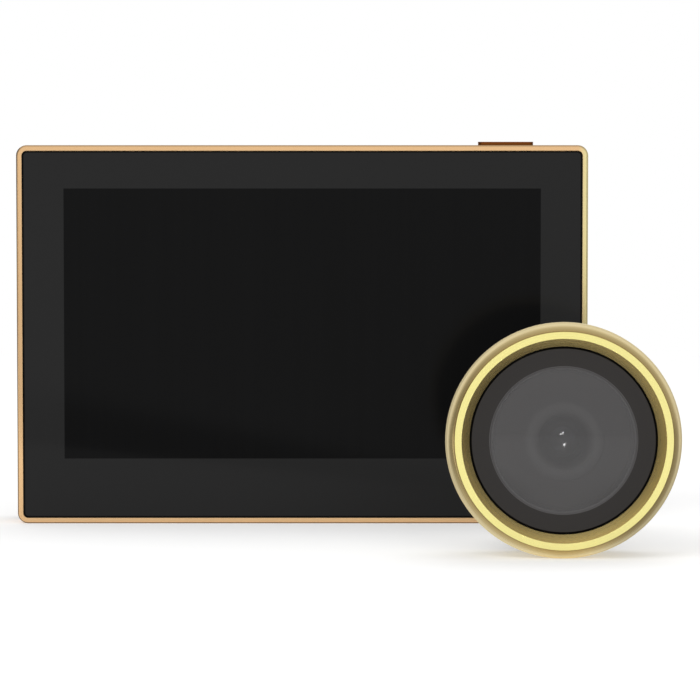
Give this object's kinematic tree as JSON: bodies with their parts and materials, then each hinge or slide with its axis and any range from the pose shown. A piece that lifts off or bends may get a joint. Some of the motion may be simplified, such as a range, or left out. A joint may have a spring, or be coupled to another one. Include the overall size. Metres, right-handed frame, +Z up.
{
  "type": "peephole door camera",
  "caption": "Peephole door camera set: flat indoor monitor with gold frame and black glass, hook bracket and sleeve, and a round gold outdoor camera head.",
  "frame": {"origin": "middle of the monitor's bottom face, on the floor", "axes": "+X right as the screen is seen, +Y from the screen's front towards its back, +Z up"},
  "size_m": [0.127, 0.1067, 0.0762],
  "materials": {
    "gold_frame": "satin anodised gold",
    "gold_bezel": "satin plated gold",
    "cover_glass": "polished, black printed border",
    "adhesive": "soft film",
    "display": "polished",
    "tray_steel": "plain sheet",
    "circuit_board": "solder mask",
    "chip_black": "moulded",
    "screw_steel": "zinc plated",
    "connector_white": "moulded",
    "switch_white": "moulded",
    "button_copper": "satin anodised copper brown",
    "battery_foil": "satin foil",
    "speaker_grey": "matt",
    "housing_black": "fine moulded texture",
    "bracket_steel": "powder coat",
    "foam": "closed foam",
    "sleeve_brass": "satin, threaded",
    "seal_rubber": "soft black",
    "cell_black": "satin black",
    "lens_glass": "coated, polished",
    "baffle_grey": "matt",
    "barrel_black": "black anodised",
    "sensor_dark": "polished",
    "back_plate": "satin plated gold"
  },
  "bodies": {
    "set": {"front_frame": "gold_frame", "front_glass": "cover_glass", "glass_tape": "adhesive", "optical_adhesive": "adhesive", "display_cell": "display", "backlight": "tray_steel", "main_board": "circuit_board", "board_chips": "chip_black", "board_screws": "screw_steel", "ribbon_socket": "connector_white", "usb_socket": "tray_steel", "card_socket": "tray_steel", "button_switch": "chip_black", "battery": "battery_foil", "battery_pad": "adhesive", "speaker": "speaker_grey", "rear_housing": "housing_black", "housing_screws": "screw_steel", "camera_bezel": "gold_bezel", "cell_seal": "seal_rubber", "lens_cell": "cell_black", "front_lens": "lens_glass", "light_baffle": "baffle_grey", "objective_lens": "lens_glass", "lens_barrel": "barrel_black", "rear_lens": "lens_glass", "lens_holder": "chip_black", "image_sensor": "sensor_dark", "sensor_board": "circuit_board", "sensor_screws": "screw_steel", "ribbon_connector": "connector_white", "camera_back": "back_plate", "back_screws": "screw_steel", "door_gasket": "seal_rubber"},
    "button": {"power_button": "button_copper", "switch_plunger": "switch_white"},
    "bracket": {"mounting_bracket": "bracket_steel", "door_pad": "foam"},
    "sleeve": {"sleeve_nut": "sleeve_brass"}
  },
  "joints": [
    {"name": "power_button_press", "type": "slide", "parent": "set", "child": "button", "axis": [0, 0, -1], "range_m": [0, 0.0006], "stiffness_N_per_m": 1000, "springref_m": -0.0006},
    {"name": "bracket_unhook", "type": "slide", "parent": "set", "child": "bracket", "axis": [0, 0, -1], "range_m": [0, 0.0035]},
    {"name": "sleeve_spin", "type": "hinge", "parent": "bracket", "child": "sleeve", "pos_m": [0, 0.0063, 0.03775], "axis": [0, 1, 0], "continuous": true}
  ]
}
